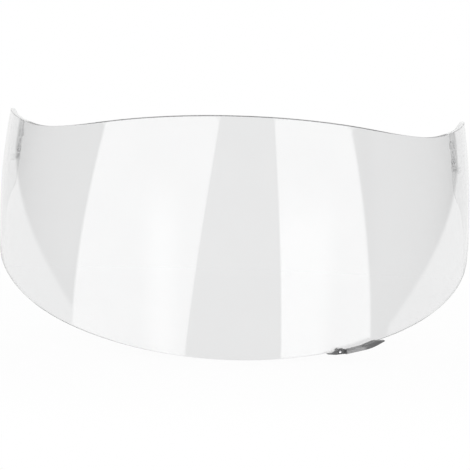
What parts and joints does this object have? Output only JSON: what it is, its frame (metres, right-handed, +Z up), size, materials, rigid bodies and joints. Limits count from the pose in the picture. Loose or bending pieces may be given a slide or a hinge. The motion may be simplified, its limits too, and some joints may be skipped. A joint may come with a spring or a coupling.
{
  "type": "motorcycle helmet visor",
  "caption": "Clear curved face shield for a full-face helmet, with pivot bosses in its ears and a small turning lever on its lower edge.",
  "frame": {"origin": "midway between the two ear pivots, on the axis that the visor turns about on its helmet", "axes": "+X to the wearer's left along the pivot axis, -Y forward to the convex front, +Z up"},
  "size_m": [0.2594, 0.1577, 0.1225],
  "materials": {
    "clear_shield": "clear hard-coated polycarbonate, polished",
    "lever_plastic": "moulded dark grey nylon, fine satin grain",
    "pin_metal": "bright turned steel",
    "washer_plastic": "natural white slippery plastic"
  },
  "bodies": {
    "visor": {"shield": "clear_shield", "pivot_rivet": "pin_metal", "friction_washer": "washer_plastic", "backing_washer": "washer_plastic"},
    "lever": {"lock_lever": "lever_plastic"}
  },
  "joints": [
    {"name": "lever_turn", "type": "hinge", "parent": "visor", "child": "lever", "pos_m": [0.05407, -0.13785, -0.09585], "axis": [0.3869, -0.9204, -0.0555], "range_deg": [0, 18]}
  ]
}
